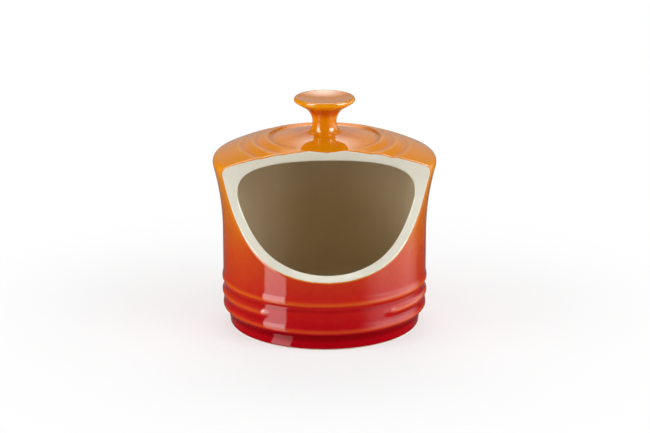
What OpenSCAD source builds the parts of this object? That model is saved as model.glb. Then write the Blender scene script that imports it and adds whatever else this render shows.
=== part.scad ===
// Salt keeper: a glazed stoneware drum with a scooped mouth, a ringed dome and a dished knob.
// Millimetres, +Z up. The origin is on the axis, on the table. The mouth faces -Y.

/* [Body] */
// Diameter of the wall between the ribs and the flare
waist_d = 110.4; // [104:0.2:116]
// Height at which the wall starts to flare
flare_z = 52; // [46:1:58]
// How far the shoulder corner stands out from the waist, before it is rounded
shoulder_out = 5.8; // [3.4:0.1:8]
// Height of the shoulder corner, before it is rounded
shoulder_z = 92.4; // [90:0.2:97]
// How far down the wall the shoulder is rounded
shoulder_round = 4; // [2.5:0.1:5]
// Thickness of the wall, glaze included
wall_t = 5.3; // [4.4:0.1:6]
// Thickness of the floor, glaze included
floor_t = 5; // [4:0.1:7]
// Radius of the corner between the floor and the wall inside
floor_corner = 9; // [5:0.5:14]
// How far under the shoulder corner the inside leaves the wall and closes over
spring_drop = 16.8; // [13:0.2:21]
// How far under the shoulder corner the pot and the dome are joined
seam_drop = 4.4; // [3.4:0.2:8]

/* [Foot] */
// How far the edge of the foot lies inside the neck
foot_in = 1.2; // [0.8:0.1:3]
// Width of the bare foot ring
foot_ring_w = 6; // [4:0.5:9]
// Depth of the hollow inside the foot ring
foot_hollow = 2; // [1.2:0.1:3]
// How far the neck over the foot lies inside the band
neck_in = 2.3; // [1.5:0.1:3]
// Height of the neck
neck_z = 7.2; // [6:0.1:8]
// Height of the lower edge of the glaze above the table
glaze_edge_z = 0.8; // [0.6:0.1:2]

/* [Ribs] */
// How far the band between the ribs lies inside the waist
band_in = 0.4; // [0.1:0.1:1.2]
// Height of the lowest rib
rib_z = 10.9; // [10:0.1:12]
// Height from one rib to the next
rib_pitch = 7.6; // [7:0.1:8]
// How far a rib stands out from the band
rib_proud = 1; // [0.7:0.05:1.3]
// Half height of the middle rib
rib_half = 2.7; // [2:0.1:3]
// Angle from the front to each end of the middle rib
rib_gap = 36; // [25:1:45]
// Length of the slope at each end of the middle rib
rib_end = 2.4; // [1.6:0.1:4]

/* [Dome] */
// Rise of the dome above the shoulder corner, before the rings are sunk
dome_rise = 14.8; // [13:0.1:17]
// Thickness of the dome at the edge of its sunk middle, glaze included
dome_t = 5.2; // [4.4:0.1:6]
// How far the outermost ring lies inside the shoulder corner
ring_in = 14.6; // [13:0.2:17]
// Distance from one ring to the next
ring_pitch = 7.6; // [7:0.1:8]
// Depth of the channels between the rings
ring_depth = 0.55; // [0.3:0.05:0.8]
// Depth of the sunk middle under the innermost ring, at its edge
pad_sink = 1; // [0.6:0.1:1.5]
// Rise of the sunk middle from its edge to the axis
pad_crown = 4; // [3:0.1:4.4]

/* [Knob] */
// Height of the knob above the dome
knob_h = 19.6; // [19.1:0.1:23]
// Diameter of the knob over its rim
knob_d = 32.8; // [29:0.2:36]
// Diameter of the stem at its narrowest
stem_d = 12.9; // [11:0.1:15]
// Distance from the knob's top down to the narrowest part of the stem
stem_drop = 13.5; // [13:0.1:14]
// Radius of the flare from the dome into the stem
stem_flare = 5.4; // [4.4:0.2:6]
// Radius of the curve from the stem out to the rim
rim_flare = 9; // [7:0.5:9.5]
// Radius of the rounded rim
rim_round = 1.5; // [1:0.1:2]
// Depth of the dish in the knob's top
knob_dish = 1.8; // [1:0.1:2.4]

/* [Mouth] */
// Radius of the scoop, seen from the side
mouth_r = 32; // [28.5:0.5:36]
// How far the deepest point of the scoop lies under the shoulder corner
mouth_drop = 9.4; // [8:0.2:12]
// Distance from the axis to the deepest point of the scoop
mouth_back = 22.8; // [20:0.1:26]
// Angle below the deepest point at which the scoop opens into the wider curve of the lower lip
mouth_turn = 31; // [26:1:36]
// Radius of the wider curve of the lower lip
low_lip_r = 80; // [70:1:100]
// Depth of the lip
lip_depth = 2.4; // [2.2:0.1:3]
// Radius of the lip's outer edge
lip_outer_round = 1.1; // [0.6:0.1:1.5]
// Radius of the lip's inner edge
lip_inner_round = 2; // [1:0.1:2.1]

/* [Glaze] */
// Thickness of a coat of glaze
glaze_t = 0.5; // [0.3:0.05:0.6]

/* [Hidden] */
$fn = 160;

// Gap left under the lip, where its facets meet the smooth cut
lip_seat = 0.05;
// Length by which a cutter runs past what it cuts
over = 1;
// Points on half a rib or ring, and along a long curve
bend_n = 7;
curve_n = 12;
// Stations along one side of the lip, and points round each of its edges
lip_n = 44;
lip_bend = 4;
// Flats under the lower lip
low_lip_n = 14;
// Radius of the softened edge of the bare foot
foot_edge = 0.5;
// Depth of the bare panel under the band, so that it is cut clean
panel_sink = 0.05;
// Roundness of the ceiling: 1 is a quarter ellipse, less is squarer
ceiling_k = 2/3;

waist_r = waist_d/2;
shoulder_r = waist_r + shoulder_out;
band_r = waist_r - band_in;
neck_r = band_r - neck_in;
foot_r = neck_r - foot_in;
stem_r = stem_d/2;
knob_r = knob_d/2;

// The ribs from low to high, and the reach of a rib's slopes below and above its crest
rib_mid_z = rib_z + rib_pitch;
rib_top_z = rib_z + 2*rib_pitch;
rib_under = 0.3*rib_pitch;
rib_over = 0.6*rib_pitch;
panel_low_z = (rib_z + rib_over + rib_mid_z - rib_half)/2;
panel_high_z = (rib_mid_z + rib_half + rib_top_z - rib_under)/2;

// Heights that follow the shoulder corner
seam_z = shoulder_z - seam_drop;
spring_z = shoulder_z - spring_drop;
mouth_z = shoulder_z - mouth_drop;

// The wall flares on one arc from the waist to the shoulder corner
flare_h = shoulder_z - flare_z;
flare_dr = shoulder_r - waist_r;
flare_r = (flare_h^2 + flare_dr^2)/(2*flare_dr);
function wall_r(z) = waist_r + (z > flare_z ? flare_r - sqrt(flare_r^2 - (z - flare_z)^2) : 0);

// The dome is part of a ball, with rings left standing between sunk channels
dome_r = (shoulder_r^2 + dome_rise^2)/(2*dome_rise);
function ball_z(r) = shoulder_z + dome_rise - dome_r + sqrt(dome_r^2 - r^2);
ring_r = shoulder_r - ring_in;
ring_in_r = ring_r - 2*ring_pitch;
ring_rise = 0.35*ring_pitch;
ring_fall = ring_pitch - ring_rise;
pad_r = ring_in_r - ring_rise;
pad_z = ball_z(ring_in_r) - pad_sink;
ceiling_z = pad_z - dome_t;
function crown_z(r) = pad_z + pad_crown*(1 - (r/pad_r)^2);
floor_z = foot_hollow + floor_t;

// Half a wave from 0 to 1, a corner rounded from a to b, an arc, and a wave from one radius to another
function wave(u) = (1 - cos(180*u))/2;
function corner(a, c, b, n) = [for (i = [1:n]) let(t = i/n) (1 - t)^2*a + 2*t*(1 - t)*c + t^2*b];
function arc(c, r, a0, a1, n) = [for (i = [0:n]) let(a = a0 + (a1 - a0)*i/n) c + r*[cos(a), sin(a)]];
function slope(r0, z0, r1, z1, n) = [for (i = [1:n]) [r0 + (r1 - r0)*wave(i/n), z0 + (z1 - z0)*i/n]];

// Outline of the foot, the ribs, the wall and its flare
function foot_side(z) = [foot_r + (neck_r - foot_r)*sin(90*z/neck_z), z];
foot_line = [for (i = [0:bend_n]) foot_side(neck_z*i/bend_n)];
band_line = concat(
    slope(neck_r, neck_z, band_r + rib_proud/2, rib_z, bend_n),
    slope(band_r + rib_proud/2, rib_z, band_r, rib_z + rib_over, bend_n),
    slope(band_r, rib_mid_z - rib_half, band_r + rib_proud, rib_mid_z, bend_n),
    slope(band_r + rib_proud, rib_mid_z, band_r, rib_mid_z + rib_half, bend_n),
    slope(band_r, rib_top_z - rib_under, band_r + rib_proud, rib_top_z, bend_n),
    slope(band_r + rib_proud, rib_top_z, waist_r, rib_top_z + rib_over, bend_n));
wall_line = [for (i = [0:curve_n]) let(z = flare_z + (shoulder_z - shoulder_round - flare_z)*i/curve_n)
    [wall_r(z), z]];

// Outline of the shoulder and of the dome up to the knob's foot
dome_edge_r = shoulder_r - 0.75*shoulder_round;
shoulder_line = corner(wall_line[curve_n], [shoulder_r, shoulder_z], [dome_edge_r, ball_z(dome_edge_r)], bend_n);
plain_line = [for (i = [1:bend_n]) let(r = dome_edge_r + (ring_r - dome_edge_r)*i/bend_n) [r, ball_z(r)]];
function channel(r) = concat(
    [for (i = [1:bend_n]) let(q = r - ring_rise*i/bend_n) [q, ball_z(q) - ring_depth*wave(i/bend_n)]],
    [for (i = [1:bend_n]) let(q = r - ring_rise - ring_fall*i/bend_n)
        [q, ball_z(q) - ring_depth*(1 - wave(i/bend_n))]]);
ring_line = concat(channel(ring_r), channel(ring_r - ring_pitch));
sink_line = [for (i = [1:bend_n]) [ring_in_r - ring_rise*i/bend_n, pad_z + pad_sink*(1 - wave(i/bend_n))]];
base_r = (stem_r + stem_flare)/(1 + 2*pad_crown*stem_flare/pad_r^2);
base_z = crown_z(base_r);
pad_line = [for (i = [1:bend_n - 1]) let(r = pad_r + (base_r - pad_r)*i/bend_n) [r, crown_z(r)]];

// Outline of the knob: flare, stem, the curve under the rim, the rim and its dish
base_a = asin(2*pad_crown*base_r/pad_r^2);
knob_top_z = base_z + knob_h;
rim_c = [knob_r - rim_round, knob_top_z - rim_round];
under_c = [stem_r + rim_flare, knob_top_z - stem_drop];
// The curve under the rim stops where it runs straight at the rim's underside
under_d = norm(rim_c - under_c);
under_a = atan2(rim_c.y - under_c.y, rim_c.x - under_c.x) + acos((rim_flare + rim_round)/under_d);
dish_r = (rim_c.x^2 + knob_dish^2)/(2*knob_dish);
knob_line = concat(
    arc([stem_r + stem_flare, base_z + stem_flare*cos(base_a)], stem_flare, 270 - base_a, 180, curve_n),
    arc(under_c, rim_flare, 180, under_a, curve_n),
    arc(rim_c, rim_round, under_a - 180, 90, curve_n),
    [for (i = [1:curve_n]) let(r = rim_c.x*(1 - i/curve_n))
        [r, knob_top_z - knob_dish + dish_r - sqrt(dish_r^2 - r^2)]]);
knob_seat_z = base_z + stem_flare/4;

outer_line = concat(foot_line, band_line, wall_line, shoulder_line, plain_line, ring_line, sink_line, pad_line,
    knob_line);

// Outline of the inside, from the middle of the floor to the middle of the ceiling
inner_r = waist_r - wall_t;
spring_r = wall_r(spring_z) - wall_t;
floor_line = concat(
    [[0, floor_z], [inner_r - floor_corner, floor_z]],
    corner([inner_r - floor_corner, floor_z], [inner_r, floor_z], [inner_r, floor_z + floor_corner], bend_n));
inside_line = [for (i = [0:curve_n]) let(z = flare_z + (spring_z - flare_z)*i/curve_n) [wall_r(z) - wall_t, z]];
ceiling_line = [for (i = [1:2*curve_n]) let(a = 90*i/(2*curve_n))
    [spring_r*cos(a)^ceiling_k, spring_z + (ceiling_z - spring_z)*sin(a)^ceiling_k]];
inner_line = concat(floor_line, inside_line, ceiling_line);

// An outline moved to its left by d, point by point, with its ends kept on the axis
function shifted(p, d) = [for (i = [0:len(p) - 1])
    let(t = p[min(i + 1, len(p) - 1)] - p[max(i - 1, 0)], q = p[i] + d*[-t.y, t.x]/norm(t))
    [p[i].x == 0 ? 0 : q.x, q.y]];

// The clay lies one coat under the glaze. Its foot ring is bare, with a softened edge.
hollow_r = foot_r - foot_ring_w;
clay_foot_c = [foot_r - glaze_t - foot_edge, foot_edge];
clay_line = concat(
    [[0, foot_hollow], [hollow_r, foot_hollow], [hollow_r, 0]],
    arc(clay_foot_c, foot_edge, 270, 360, bend_n),
    [for (p = shifted(outer_line, glaze_t)) if (p.y > 2*foot_edge) p]);
glaze_line = concat(
    [[0, glaze_edge_z], foot_side(glaze_edge_z)],
    [for (p = outer_line) if (p.y > glaze_edge_z + foot_edge/2) p]);
cavity_line = shifted(inner_line, -glaze_t);

// The scoop seen from the side: an arc that opens into a wider one down the lower lip, grown by w
mouth_c = [-mouth_back - mouth_r, mouth_z];
turn_way = [cos(mouth_turn), -sin(mouth_turn)];
low_c = mouth_c + (mouth_r - low_lip_r)*turn_way;
function bow(c, r, z) = c.x + sqrt(max(0, r^2 - (z - c.y)^2));
function scoop_y(z, w) = z > mouth_z + (mouth_r + w)*turn_way.y
    ? bow(mouth_c, mouth_r + w, z)
    : bow(low_c, low_lip_r + w, z);

// The mouth's edge follows an outline, given as [distance along it, radius, height]
function run(p) = [for (i = 0, s = 0; i < len(p);
    s = s + (i + 1 < len(p) ? norm(p[i + 1] - p[i]) : 0), i = i + 1) [s, p[i].x, p[i].y]];
function along(run, s) = [
    lookup(s, [for (q = run) [q[0], q[1]]]),
    lookup(s, [for (q = run) [q[0], q[2]]])];
function open_at(run, s, w) = let(p = along(run, s)) p.x + scoop_y(p.y, w) > 0;
// Where the scoop meets the outline on the front line, between a shut place and an open one
function meet(run, w, shut, open, n = 24) = let(m = (shut + open)/2)
    n == 0 ? open : open_at(run, m, w) ? meet(run, w, shut, m, n - 1) : meet(run, w, m, open, n - 1);
function edge_ends(run, w) = let(all = run[len(run) - 1][0])
    [meet(run, w, 0, all/2), meet(run, w, all, all/2)];
function edge_point(run, ends, f, side, w) =
    let(p = along(run, ends[0] + (ends[1] - ends[0])*wave(f)), y = scoop_y(p.y, w))
    [side*sqrt(max(0, p.x^2 - y^2)), y, p.y];

lip_outer = run(concat([band_line[len(band_line) - 1]], wall_line, shoulder_line, plain_line, ring_line,
    sink_line, pad_line));
lip_inner = run(concat([floor_line[len(floor_line) - 1]], inside_line, ceiling_line));
// Stations round the mouth: up one side and down the other
lip_stations = concat(
    [for (i = [0:lip_n]) [i/lip_n, 1]],
    [for (i = [lip_n - 1:-1:1]) [i/lip_n, -1]]);
// Section of the lip: distance in from its outer edge, distance in from its inner edge, depth
lip_section = concat(
    [[0, undef, lip_depth - lip_seat]],
    [for (i = [0:lip_bend]) let(a = 90*i/lip_bend)
        [lip_outer_round*(1 - cos(a)), undef, lip_outer_round*(1 - sin(a))]],
    [for (i = [lip_bend:-1:0]) let(a = 90*i/lip_bend)
        [undef, lip_inner_round*(1 - cos(a)), lip_inner_round*(1 - sin(a))]],
    [[undef, 0, lip_depth - lip_seat]]);

module revolve(line) {
    rotate_extrude() polygon(line);
}

// What the scoop takes away, grown by w. The wider curve runs just inside the arc, so that they cross.
module mouth(w) {
    front_y = -2*shoulder_r;
    last = acos((front_y/2 - over - low_c.x)/low_lip_r);
    step = (last - mouth_turn)/low_lip_n;
    low_line = arc(low_c, (low_lip_r + w - lip_seat)/cos(step/2), -mouth_turn, -last, low_lip_n);
    rotate([90, 0, 90])
        linear_extrude(4*shoulder_r, center = true)
            union() {
                translate(mouth_c) circle(mouth_r + w);
                polygon(concat([mouth_c], low_line, [[front_y, low_line[low_lip_n].y], [front_y, mouth_z]]));
            }
}

// What is taken off the middle rib to leave the front panel bare, d under the surface
module panel(d) {
    r = band_r - d;
    tip = atan(rib_proud/rib_end);
    near = [sin(rib_gap - tip), -cos(rib_gap - tip)];
    ends = [for (side = [1, -1], u = [-over, 4*rib_end])
        let(p = r*[sin(rib_gap), -cos(rib_gap)] + u*[-near.y, near.x]) [side*p.x, p.y]];
    difference() {
        translate([0, 0, panel_low_z])
            linear_extrude(panel_high_z - panel_low_z)
                polygon([ends[0], ends[1], [ends[1].x, -shoulder_r], [ends[3].x, -shoulder_r], ends[3], ends[2]]);
        cylinder(r = r - panel_sink, h = shoulder_z);
    }
}

// The whole body in clay, and the part of it between two heights
module clay() {
    difference() {
        revolve(clay_line);
        panel(glaze_t);
        revolve(cavity_line);
        mouth(lip_depth);
    }
}

module clay_between(low_z, high_z) {
    intersection() {
        clay();
        translate([-2*shoulder_r, -2*shoulder_r, low_z])
            cube([4*shoulder_r, 4*shoulder_r, high_z - low_z]);
    }
}

module pot() {
    color("tan") clay_between(-over, seam_z);
}

module dome() {
    color("burlywood") clay_between(seam_z, knob_seat_z);
}

module knob() {
    color("wheat") clay_between(knob_seat_z, knob_top_z + over);
}

// The rounded lip, swept round the mouth's edge
module lip() {
    depths = [for (q = lip_section) q[2]];
    outer_ends = [for (w = depths) edge_ends(lip_outer, w)];
    inner_ends = [for (w = depths) edge_ends(lip_inner, w)];
    m = len(lip_section);
    n = len(lip_stations);
    points = [for (st = lip_stations, k = [0:m - 1]) let(
        o = edge_point(lip_outer, outer_ends[k], st[0], st[1], depths[k]),
        i = edge_point(lip_inner, inner_ends[k], st[0], st[1], depths[k]),
        q = lip_section[k], across = (i - o)/norm(i - o))
        is_undef(q[0]) ? i - across*q[1] : o + across*q[0]];
    faces = [for (a = [0:n - 1], k = [0:m - 1]) let(b = (a + 1) % n, j = (k + 1) % m)
        each [[a*m + k, a*m + j, b*m + j], [a*m + k, b*m + j, b*m + k]]];
    color("cornsilk") polyhedron(points, faces);
}

module outer_glaze() {
    color("orangered") {
        difference() {
            revolve(glaze_line);
            panel(0);
            difference() {
                revolve(clay_line);
                panel(glaze_t);
            }
            mouth(lip_depth);
        }
        translate([0, 0, foot_hollow - glaze_t]) cylinder(r = hollow_r, h = glaze_t);
    }
}

module inner_glaze() {
    color("antiquewhite")
        difference() {
            revolve(cavity_line);
            revolve(inner_line);
            mouth(lip_depth);
        }
}

pot();
dome();
knob();
lip();
outer_glaze();
inner_glaze();
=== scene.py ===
"""Looks of a glazed stoneware salt keeper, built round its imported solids."""

import logging
import math
from dataclasses import dataclass, field
from enum import Enum

import bpy
import numpy as np
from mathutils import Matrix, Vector


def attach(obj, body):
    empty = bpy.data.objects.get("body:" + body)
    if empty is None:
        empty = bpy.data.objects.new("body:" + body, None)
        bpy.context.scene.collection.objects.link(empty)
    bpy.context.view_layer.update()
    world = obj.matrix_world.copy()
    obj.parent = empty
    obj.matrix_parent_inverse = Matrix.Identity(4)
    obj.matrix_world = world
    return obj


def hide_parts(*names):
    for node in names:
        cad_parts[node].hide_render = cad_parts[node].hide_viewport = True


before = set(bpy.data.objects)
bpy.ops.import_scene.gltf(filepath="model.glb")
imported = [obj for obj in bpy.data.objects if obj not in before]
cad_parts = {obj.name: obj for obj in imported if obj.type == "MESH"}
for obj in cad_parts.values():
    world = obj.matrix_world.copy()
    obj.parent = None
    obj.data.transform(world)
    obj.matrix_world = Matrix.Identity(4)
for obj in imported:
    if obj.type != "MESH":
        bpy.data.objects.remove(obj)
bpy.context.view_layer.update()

LOG = logging.getLogger("salt_keeper")
MM = 0.001
BODY = "root"
Colour = tuple[float, float, float]
Pair = tuple[float, float]
Stops = tuple[tuple[float, Colour], ...]
Socket = bpy.types.NodeSocket

# Points that are closer together than this, in millimetres, count as one
TINY = 1e-6


class Slot(Enum):
    """Names of the material slots of the solids; the script defines them but gives them to no piece."""

    LIP = "lip_glaze"
    OUTSIDE = "outer_glaze"
    INSIDE = "inner_glaze"


class Node(Enum):
    """Solids of the frame."""

    POT = "pot"
    DOME = "dome"
    KNOB = "knob"
    LIP = "lip"
    OUTSIDE = "outer_glaze"
    INSIDE = "inner_glaze"


class Tint(Enum):
    """Point attributes that the finishes read."""

    THIN = "thin"
    ACROSS = "across"


def wave(u: np.ndarray) -> np.ndarray:
    """Half a cosine wave from 0 to 1."""
    return (1 - np.cos(np.pi * u)) / 2


def bell(d: np.ndarray, width: float) -> np.ndarray:
    """A soft bump of height 1 at d = 0."""
    return np.exp(-((d / width) ** 2))


def linear(red: int, green: int, blue: int) -> Colour:
    """A colour given in 0 to 255 steps, as linear light by the sRGB curve."""
    steps = (c / 255 for c in (red, green, blue))
    return tuple(c / 12.92 if c <= 0.04045 else ((c + 0.055) / 1.055) ** 2.4 for c in steps)


@dataclass(frozen=True)
class KeeperSizes:
    """Sizes of the keeper in millimetres and radians, the same as its solids have, and a few shares.

    Attributes:
        shoulder_in: Share of shoulder_round by which the rounding reaches in on the dome.
        rib_under: Share of rib_pitch that the slope under a rib takes.
        rib_over: Share of rib_pitch that the slope over a rib takes.
        ring_steep: Share of ring_pitch that the steep side of a ring takes.
        ceiling_k: Power that rounds the ceiling inside.
    """

    waist_r: float = 55.2
    flare_z: float = 52.0
    shoulder_r: float = 61.0
    shoulder_z: float = 92.4
    shoulder_round: float = 4.0
    shoulder_in: float = 0.75
    wall_t: float = 5.3
    floor_t: float = 5.0
    floor_corner: float = 9.0
    spring_z: float = 75.6
    foot_r: float = 51.3
    foot_ring_w: float = 6.0
    foot_hollow: float = 2.0
    neck_r: float = 52.5
    neck_z: float = 7.2
    band_r: float = 54.8
    rib_z: float = 10.9
    rib_pitch: float = 7.6
    rib_proud: float = 1.0
    rib_half: float = 2.7
    rib_under: float = 0.3
    rib_over: float = 0.6
    rib_gap: float = math.radians(36)
    dome_rise: float = 14.8
    dome_t: float = 5.2
    ring_r: float = 46.4
    ring_pitch: float = 7.6
    ring_depth: float = 0.55
    ring_steep: float = 0.35
    pad_sink: float = 1.0
    pad_crown: float = 4.0
    knob_h: float = 19.6
    knob_r: float = 16.4
    stem_r: float = 6.45
    stem_drop: float = 13.5
    stem_flare: float = 5.4
    rim_flare: float = 9.0
    rim_round: float = 1.5
    knob_dish: float = 1.8
    mouth_r: float = 32.0
    mouth_z: float = 83.0
    mouth_back: float = 22.8
    mouth_turn: float = math.radians(31)
    low_lip_r: float = 80.0
    lip_outer_round: float = 1.1
    lip_inner_round: float = 2.0
    glaze_t: float = 0.5
    ceiling_k: float = 2 / 3

    @property
    def rib_mid_z(self) -> float:
        """Height of the middle rib."""
        return self.rib_z + self.rib_pitch

    @property
    def rib_top_z(self) -> float:
        """Height of the highest rib."""
        return self.rib_z + 2 * self.rib_pitch

    def wall_r(self, z: np.ndarray) -> np.ndarray:
        """Radius of the wall, flared on one arc above the waist.

        Args:
            z: Heights.

        Returns:
            Radii.
        """
        rise = self.shoulder_z - self.flare_z
        out = self.shoulder_r - self.waist_r
        bend = (rise**2 + out**2) / (2 * out)
        up = np.clip(np.asarray(z, float) - self.flare_z, 0, None)
        return self.waist_r + bend - np.sqrt(bend**2 - up**2)

    def ball_z(self, r: np.ndarray) -> np.ndarray:
        """Height of the plain dome at a radius."""
        ball = (self.shoulder_r**2 + self.dome_rise**2) / (2 * self.dome_rise)
        return self.shoulder_z + self.dome_rise - ball + np.sqrt(ball**2 - np.asarray(r, float) ** 2)

    @property
    def ring_in_r(self) -> float:
        """Radius of the innermost ring."""
        return self.ring_r - 2 * self.ring_pitch

    @property
    def ridges(self) -> tuple[float, float, float]:
        """Radii of the rings' crests, from the outermost in."""
        return self.ring_r, self.ring_r - self.ring_pitch, self.ring_in_r

    @property
    def ring_rise(self) -> float:
        """Width of the steep side of a ring."""
        return self.ring_steep * self.ring_pitch

    @property
    def pad_z(self) -> float:
        """Height of the sunk middle of the dome, at its edge."""
        return float(self.ball_z(self.ring_in_r)) - self.pad_sink

    @property
    def pad_r(self) -> float:
        """Radius of the sunk middle of the dome."""
        return self.ring_in_r - self.ring_rise

    def crown_z(self, r: np.ndarray) -> np.ndarray:
        """Height of the sunk middle at a radius."""
        return self.pad_z + self.pad_crown * (1 - (np.asarray(r, float) / self.pad_r) ** 2)

    @property
    def base_r(self) -> float:
        """Radius at which the knob's flare leaves the dome."""
        return (self.stem_r + self.stem_flare) / (1 + 2 * self.pad_crown * self.stem_flare / self.pad_r**2)

    @property
    def ceiling_z(self) -> float:
        """Height of the ceiling inside."""
        return self.pad_z - self.dome_t

    @property
    def floor_z(self) -> float:
        """Height of the floor inside."""
        return self.foot_hollow + self.floor_t

    @property
    def knob_top_z(self) -> float:
        """Height of the knob's rim."""
        return float(self.crown_z(self.base_r)) + self.knob_h


class Outline:
    """A half section of the keeper, as radius and height along its length."""

    def __init__(self, pieces: list[np.ndarray]) -> None:
        """Joins the pieces end to end.

        Args:
            pieces: Arrays of radius and height in millimetres, in order.
        """
        points = np.vstack(pieces)
        steps = np.linalg.norm(np.diff(points, axis=0), axis=1)
        points = points[np.concatenate([[True], steps > TINY])]
        self.run = np.concatenate([[0], np.cumsum(np.linalg.norm(np.diff(points, axis=0), axis=1))])
        self.points = points

    @property
    def length(self) -> float:
        """Length along the outline."""
        return float(self.run[-1])

    def at(self, s: np.ndarray) -> tuple[np.ndarray, np.ndarray]:
        """Radius and height at distances along the outline.

        Args:
            s: Distances in millimetres.

        Returns:
            Radii and heights.
        """
        return np.interp(s, self.run, self.points[:, 0]), np.interp(s, self.run, self.points[:, 1])


@dataclass(frozen=True)
class Drawing:
    """Draws the outlines of the keeper, as its solids have them but finer.

    Attributes:
        size: Sizes of the keeper.
        fine: Points of a curve.
        foot_coat: Share of the glaze's thickness by which the coat stands out on the foot.
        roll_top: Height at which the glaze's rolled edge turns into the side of the foot.
        roll_end: Where the rolled edge ends, as a distance in from the foot and a height.
        roll_bend: Where its bend is drawn to, as a distance in from the coat and a height.
    """

    size: KeeperSizes
    fine: int = 60
    foot_coat: float = 0.4
    roll_top: float = 1.2
    roll_end: Pair = (0.55, 1.35)
    roll_bend: Pair = (0.1, 0.35)

    def slope(self, r0: float, z0: float, r1: float, z1: float) -> np.ndarray:
        """Half a wave from one radius and height to another."""
        u = np.linspace(0, 1, self.fine)
        return np.column_stack([r0 + (r1 - r0) * wave(u), z0 + (z1 - z0) * u])

    def corner(self, a: Pair, c: Pair, b: Pair) -> np.ndarray:
        """A rounded corner from a to b, drawn towards c."""
        t = np.linspace(0, 1, self.fine)[:, None]
        return (1 - t) ** 2 * np.array(a) + 2 * t * (1 - t) * np.array(c) + t**2 * np.array(b)

    def arc(self, centre: Pair, r: float, a0: float, a1: float) -> np.ndarray:
        """An arc between two angles in degrees."""
        a = np.radians(np.linspace(a0, a1, self.fine))
        return np.array(centre) + r * np.column_stack([np.cos(a), np.sin(a)])

    def outside(self) -> Outline:
        """Draws the outside from the rolled edge of the glaze to the middle of the knob's dish.

        Returns:
            The outline, without the middle rib.
        """
        k = self.size
        z = np.linspace(self.roll_top, k.neck_z, self.fine)
        foot_r = k.foot_r + self.foot_coat * k.glaze_t
        foot = np.column_stack([k.neck_r - (k.neck_r - foot_r) * np.cos(np.pi / 2 * z / k.neck_z), z])
        (end_in, end_z), (bend_in, bend_z) = self.roll_end, self.roll_bend
        edge = self.corner((k.foot_r - end_in, end_z), (foot_r - bend_in, bend_z), tuple(foot[0]))
        under, over = k.rib_under * k.rib_pitch, k.rib_over * k.rib_pitch
        low, proud = k.band_r + k.rib_proud / 2, k.band_r + k.rib_proud
        band = [
            self.slope(k.neck_r, k.neck_z, low, k.rib_z),
            self.slope(low, k.rib_z, k.band_r, k.rib_z + over),
            self.slope(k.band_r, k.rib_top_z - under, proud, k.rib_top_z),
            self.slope(proud, k.rib_top_z, k.waist_r, k.rib_top_z + over),
        ]
        z = np.linspace(k.flare_z, k.shoulder_z - k.shoulder_round, 2 * self.fine)
        wall = np.column_stack([k.wall_r(z), z])
        turn_r = k.shoulder_r - k.shoulder_in * k.shoulder_round
        shoulder = self.corner(
            tuple(wall[-1]), (k.shoulder_r, k.shoulder_z), (turn_r, float(k.ball_z(turn_r))))
        r = np.linspace(turn_r, k.ring_r, self.fine)
        plain = np.column_stack([r, k.ball_z(r)])
        return Outline([edge, foot, *band, wall, shoulder, plain, *self.rings(), *self.knob()])

    def rings(self) -> list[np.ndarray]:
        """Draws the rings of the dome and its sunk middle, from the outermost ring in to the knob.

        Returns:
            Pieces of the outline, in order.
        """
        k = self.size
        rise = k.ring_rise
        pieces = []
        for crest in k.ridges[:2]:
            r = np.linspace(crest, crest - k.ring_pitch, 2 * self.fine)
            d = crest - r
            deep = np.where(d < rise, wave(d / rise), 1 - wave((d - rise) / (k.ring_pitch - rise)))
            pieces.append(np.column_stack([r, k.ball_z(r) - k.ring_depth * deep]))
        r = np.linspace(k.ring_in_r, k.ring_in_r - rise, self.fine)
        pieces.append(np.column_stack([r, k.pad_z + k.pad_sink * (1 - wave((k.ring_in_r - r) / rise))]))
        r = np.linspace(k.pad_r, k.base_r, self.fine)
        pieces.append(np.column_stack([r, k.crown_z(r)]))
        return pieces

    def knob(self) -> list[np.ndarray]:
        """Draws the knob from the flare at its foot to the middle of its dish.

        Returns:
            Pieces of the outline, in order.
        """
        k = self.size
        lean = math.asin(2 * k.pad_crown * k.base_r / k.pad_r**2)
        base_z = float(k.crown_z(k.base_r))
        rim = np.array([k.knob_r - k.rim_round, k.knob_top_z - k.rim_round])
        under = np.array([k.stem_r + k.rim_flare, k.knob_top_z - k.stem_drop])
        apart = rim - under
        leave = math.degrees(math.atan2(apart[1], apart[0])
                             + math.acos((k.rim_flare + k.rim_round) / float(np.linalg.norm(apart))))
        ball = (rim[0] ** 2 + k.knob_dish**2) / (2 * k.knob_dish)
        r = rim[0] * np.linspace(1, 0, self.fine)
        dish = np.column_stack([r, k.knob_top_z - k.knob_dish + ball - np.sqrt(ball**2 - r**2)])
        return [
            self.arc((k.stem_r + k.stem_flare, base_z + k.stem_flare * math.cos(lean)), k.stem_flare,
                     270 - math.degrees(lean), 180),
            self.arc(tuple(under), k.rim_flare, 180, leave),
            self.arc(tuple(rim), k.rim_round, leave - 180, 90),
            dish,
        ]

    def inside(self) -> Outline:
        """Draws the inside from the middle of the floor to the middle of the ceiling.

        Returns:
            The outline.
        """
        k = self.size
        r = k.waist_r - k.wall_t
        floor = np.array([[0, k.floor_z], [r - k.floor_corner, k.floor_z]])
        turn = self.corner((r - k.floor_corner, k.floor_z), (r, k.floor_z), (r, k.floor_z + k.floor_corner))
        z = np.linspace(k.flare_z, k.spring_z, self.fine)
        wall = np.column_stack([k.wall_r(z) - k.wall_t, z])
        a = np.linspace(0, np.pi / 2, 4 * self.fine)
        ceiling = np.column_stack([
            wall[-1, 0] * np.cos(a).clip(0) ** k.ceiling_k,
            k.spring_z + (k.ceiling_z - k.spring_z) * np.sin(a) ** k.ceiling_k])
        return Outline([floor, turn, wall, ceiling])


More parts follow.
